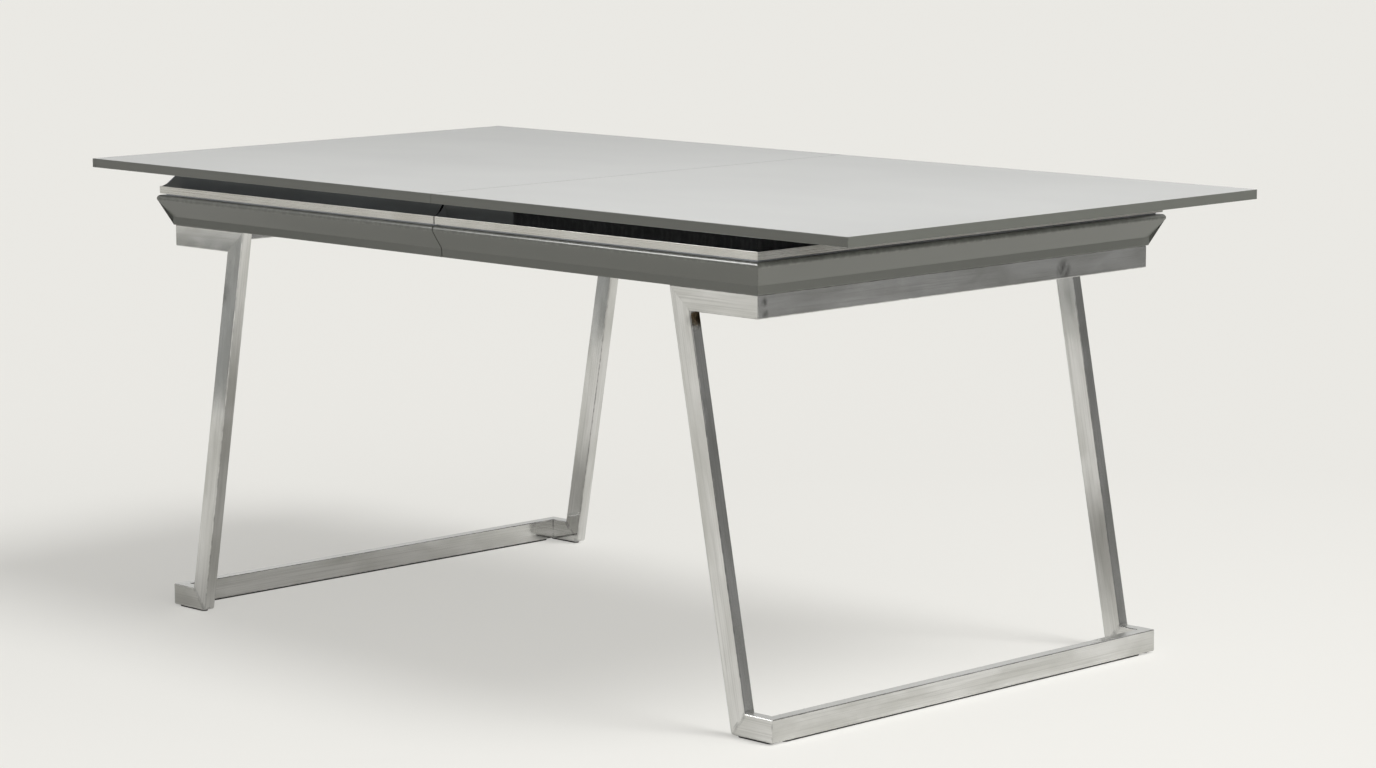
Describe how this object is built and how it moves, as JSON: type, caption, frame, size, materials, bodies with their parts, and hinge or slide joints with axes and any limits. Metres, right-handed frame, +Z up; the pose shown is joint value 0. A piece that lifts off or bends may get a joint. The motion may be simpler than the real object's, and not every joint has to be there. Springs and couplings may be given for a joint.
{
  "type": "extendable dining table",
  "caption": "Extendable dining table with a grey lacquered top and moulded apron on leaning square steel tube frames; halves slide apart over a folded leaf.",
  "frame": {"origin": "on the floor, under the middle of the closed table", "axes": "+X along the length towards the right end, +Y across the width towards the back, +Z up"},
  "size_m": [1.75, 0.92, 0.75],
  "materials": {
    "grey_lacquer": "grey satin lacquer on fibreboard",
    "steel_faced_board": "polished stainless sheet on a fibreboard core",
    "brushed_strip": "bright brushed stainless strip",
    "polished_steel": "polished stainless box tube with faint grain",
    "black_rubber": "matte black rubber",
    "zinc_steel": "bright zinc-plated steel",
    "beech": "planed beech, oiled",
    "anodised_aluminium": "extruded, clear anodised",
    "nylon": "natural nylon, moulded",
    "black_powder_coat": "black powder coat",
    "brass": "rolled brass, dull"
  },
  "bodies": {
    "left_half": {"left_top_panel": "grey_lacquer", "left_front_apron": "grey_lacquer", "left_back_apron": "grey_lacquer", "left_end_apron": "grey_lacquer", "left_front_cove": "steel_faced_board", "left_back_cove": "steel_faced_board", "left_end_cove": "steel_faced_board", "left_trim_strip": "brushed_strip", "left_top_beam": "polished_steel", "left_arms": "polished_steel", "left_front_leg": "polished_steel", "left_back_leg": "polished_steel", "left_feet": "polished_steel", "left_crossbar": "polished_steel", "left_floor_pads": "black_rubber", "left_mounting_plates": "polished_steel", "left_frame_bolts": "zinc_steel", "left_corner_blocks": "beech", "left_cross_rail": "beech", "left_slide_battens": "beech", "outer_channels": "anodised_aluminium", "outer_stop_pins": "zinc_steel", "left_rack": "nylon", "lock_brackets": "zinc_steel"},
    "right_half": {"right_top_panel": "grey_lacquer", "right_front_apron": "grey_lacquer", "right_back_apron": "grey_lacquer", "right_end_apron": "grey_lacquer", "right_front_cove": "steel_faced_board", "right_back_cove": "steel_faced_board", "right_end_cove": "steel_faced_board", "right_trim_strip": "brushed_strip", "right_top_beam": "polished_steel", "right_arms": "polished_steel", "right_front_leg": "polished_steel", "right_back_leg": "polished_steel", "right_feet": "polished_steel", "right_crossbar": "polished_steel", "right_floor_pads": "black_rubber", "right_mounting_plates": "polished_steel", "right_frame_bolts": "zinc_steel", "right_corner_blocks": "beech", "right_cross_rail": "beech", "right_slide_battens": "beech", "inner_channels": "anodised_aluminium", "inner_stop_pins": "zinc_steel", "right_rack": "nylon", "seam_dowels": "beech"},
    "leaf_carriage": {"middle_rails": "anodised_aluminium", "rail_glides": "nylon", "carriage_bearers": "black_powder_coat", "pinion_plate": "zinc_steel", "pinion_axle": "zinc_steel", "leaf_upper_half": "grey_lacquer", "leaf_lower_half": "grey_lacquer", "leaf_hinges": "brass", "leaf_dowels": "beech"},
    "equaliser_pinion": {"equaliser_pinion": "nylon"},
    "front_lock_lever": {"front_lock_lever": "black_powder_coat"},
    "back_lock_lever": {"back_lock_lever": "black_powder_coat"}
  },
  "joints": [
    {"name": "table_extension", "type": "slide", "parent": "left_half", "child": "right_half", "axis": [1, 0, 0], "range_m": [0, 0.5]},
    {"name": "carriage_travel", "type": "slide", "parent": "left_half", "child": "leaf_carriage", "axis": [1, 0, 0], "range_m": [0, 0.25]},
    {"name": "pinion_turn", "type": "hinge", "parent": "leaf_carriage", "child": "equaliser_pinion", "pos_m": [0, 0, 0.679], "axis": [0, 0, 1], "range_deg": [-720, 0]},
    {"name": "front_lock_turn", "type": "hinge", "parent": "left_half", "child": "front_lock_lever", "pos_m": [0.086, -0.38, 0.662], "axis": [0, 1, 0], "range_deg": [0, 90]},
    {"name": "back_lock_turn", "type": "hinge", "parent": "left_half", "child": "back_lock_lever", "pos_m": [0.086, 0.38, 0.662], "axis": [0, 1, 0], "range_deg": [0, 90]}
  ],
  "couplings": [
    {"joint": "carriage_travel", "follows": "table_extension", "ratio": 0.5},
    {"joint": "pinion_turn", "follows": "table_extension", "rad_per_m": -25}
  ]
}
